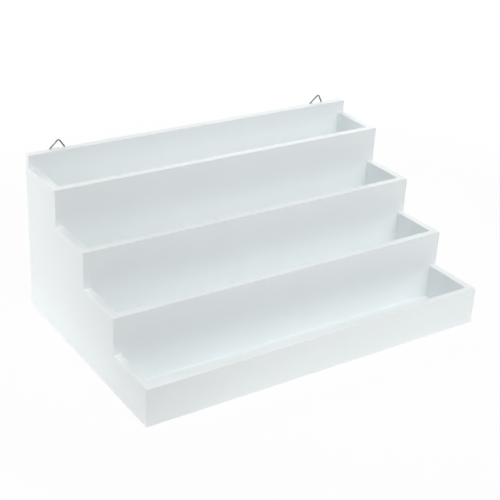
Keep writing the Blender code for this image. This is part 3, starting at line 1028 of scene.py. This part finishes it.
def cross_bar(top, along, across):
    """One bar of the cross, narrower at its bottom."""
    half = Vector((along / 2, RECESS_DEEP, across / 2))
    shape = bmesh.new()
    for corner in add_box(shape, top - half, top + half):
        if corner.co.y < top.y:
            corner.co.x = top.x + (corner.co.x - top.x) * RECESS_TAPER
            corner.co.z = top.z + (corner.co.z - top.z) * RECESS_TAPER
    return show("cross", mesh_from(shape, "cross"))


print("screw helpers ready")

# %% Turn the screws
for side, *_ in hangers:
    low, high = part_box(f"{side}_hanger_screw")
    seat_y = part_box(f"{side}_hanger_strap")[0].y + SHEET + gap
    middle = (low + high) / 2
    head = (high.x - low.x) / 2
    section = screw_section(head, high.y - seat_y, seat_y - low.y, head * SHANK_SHARE)
    centre = Vector((middle.x, seat_y, middle.z))
    screw = show(f"{side}_screw_turned", turned(centre, section))
    top = Vector((middle.x, high.y, middle.z))
    bars = [cross_bar(top, RECESS, RECESS_SLOT), cross_bar(top, RECESS_SLOT, RECESS)]
    for bar in bars:
        trim(screw, "DIFFERENCE", bar)
    outward_mesh(settle(screw, *bars))
    dress(screw, "box", "screw_steel", f"{side}_hanger_screw")

# %% [markdown]
# ## Floor and light
# The photograph is a cut-out on pure white. The box stood on a small white sheet in a darker room:
# its faces are brightest near their feet, where the sheet is close, and fade further up. So the
# floor bounces light only near the box. To the camera, and in the reflections of metal, all of it
# shows white, with just enough of the sheet's own shading to keep the box's shadow. Light Path
# makes that difference, for the floor and for the world.

# %% Floor
PURE_WHITE = (1.0, 1.0, 1.0, 1.0)
SHEET_WHITE = (0.93, 0.93, 0.93, 1.0)
ROOM_GREY = (0.10, 0.10, 0.10, 1.0)
SHEET_MIDDLE = (0.10, 0.02, 0.0)
SHEET_SPAN = (0.27, 0.58)  # how far from its middle the sheet is white, and where it has faded out
SHEET_SHADE = 0.06  # share of the sheet's own shading that the camera sees
SHEET_ROUGHNESS = 0.9
FLOOR_REACH = 4.0
FLOOR_DROP = 0.0002  # below the boards' feet, so that no two faces share a place


def seen_rays(tree):
    """1 for rays that show the surroundings, straight or mirrored, 0 for rays that carry light."""
    path = add(tree, "LightPath").outputs
    mirrored = sum_of(tree, "MAXIMUM", path["Is Glossy Ray"], path["Is Transmission Ray"])
    return sum_of(tree, "MAXIMUM", path["Is Camera Ray"], mirrored)


floor_material, tree, shader = new_material("white_floor")
spot = out(tree, "TexCoord", socket="Object")
away = out(tree, "VectorMath", {0: spot, 1: SHEET_MIDDLE}, "Value", operation="DISTANCE")
sheet = range_of(tree, away, *SHEET_SPAN, 1.0, 0.0)
tree.links.new(mix_of(tree, sheet, ROOM_GREY, SHEET_WHITE), shader.inputs["Base Color"])
shader.inputs["Roughness"].default_value = SHEET_ROUGHNESS
glow = out(tree, "Emission", {"Color": PURE_WHITE, "Strength": 1.0})
white = sum_of(tree, "MULTIPLY_ADD", sheet, -SHEET_SHADE, 1.0)
share = sum_of(tree, "MULTIPLY", seen_rays(tree), white)
mixed = out(tree, "MixShader", {0: share, 1: shader.outputs[0], 2: glow})
tree.links.new(mixed, tree.nodes["Material Output"].inputs["Surface"])
floor_mesh = bpy.data.meshes.new("white_floor")
square = ((-1, -1), (1, -1), (1, 1), (-1, 1))
corners = [(x * FLOOR_REACH, y * FLOOR_REACH, -FLOOR_DROP) for x, y in square]
floor_mesh.from_pydata(corners, [], [(0, 1, 2, 3)])
floor_mesh.materials.append(floor_material)
floor = show("white_floor", floor_mesh)
print("floor:", 2 * FLOOR_REACH, "m square, white sheet:", 2 * SHEET_SPAN[0], "m across")

# %% World
AMBIENT = 0.01
world = bpy.data.worlds.new("white_room")
scene.world = world
world.use_nodes = True
tree = world.node_tree
soft = tree.nodes["Background"]
soft.inputs["Color"].default_value = PURE_WHITE
soft.inputs["Strength"].default_value = AMBIENT
white = out(tree, "Background", {"Color": PURE_WHITE, "Strength": 1.0})
mixed = out(tree, "MixShader", {0: seen_rays(tree), 1: soft.outputs[0], 2: white})
tree.links.new(mixed, tree.nodes["World Output"].inputs["Surface"])
print("ambient light:", AMBIENT)

# %% [markdown]
# The lamps are plain softboxes, none of them strong. A wide one hangs high in front and another
# stands on the left. The small ones stand close by, so that their light falls off along the box, as
# in the photograph: the left face is brighter towards the back, the front faces and all the upward
# edges towards the right. One far behind keeps the back panel from going grey, and grazes its
# bright top edge.

# %% Lamps
BOX_MIDDLE = Vector((0.0, 0.0, 0.08))
LAMPS = (  # name, place, side length in metres, power in watts
    ("high_in_front", (0.0, -1.2, 1.4), 1.2, 18.2),
    ("left", (-1.75, 0.0, 0.5), 1.2, 10.6),
    ("near_left", (-0.65, 0.45, 0.34), 0.4, 2.3),
    ("near_front", (0.5, -0.9, 0.7), 0.7, 3.5),
    ("behind_right", (0.45, 0.6, 0.7), 0.4, 1.8),
    ("near_right", (0.55, 0.3, 0.3), 0.3, 0.4),
    ("behind", (0.0, 1.7, 0.85), 0.5, 6.6),
)
for name, place, size, power in LAMPS:
    softbox = bpy.data.lights.new(name, "AREA")
    softbox.size = size
    softbox.energy = power
    lamp = bpy.data.objects.new(name, softbox)
    lamp.location = place
    lamp.rotation_euler = (BOX_MIDDLE - Vector(place)).to_track_quat("-Z", "Y").to_euler()
    scene.collection.objects.link(lamp)
scene.view_settings.view_transform = "Standard"
print("lamps:", [name for name, *_ in LAMPS])
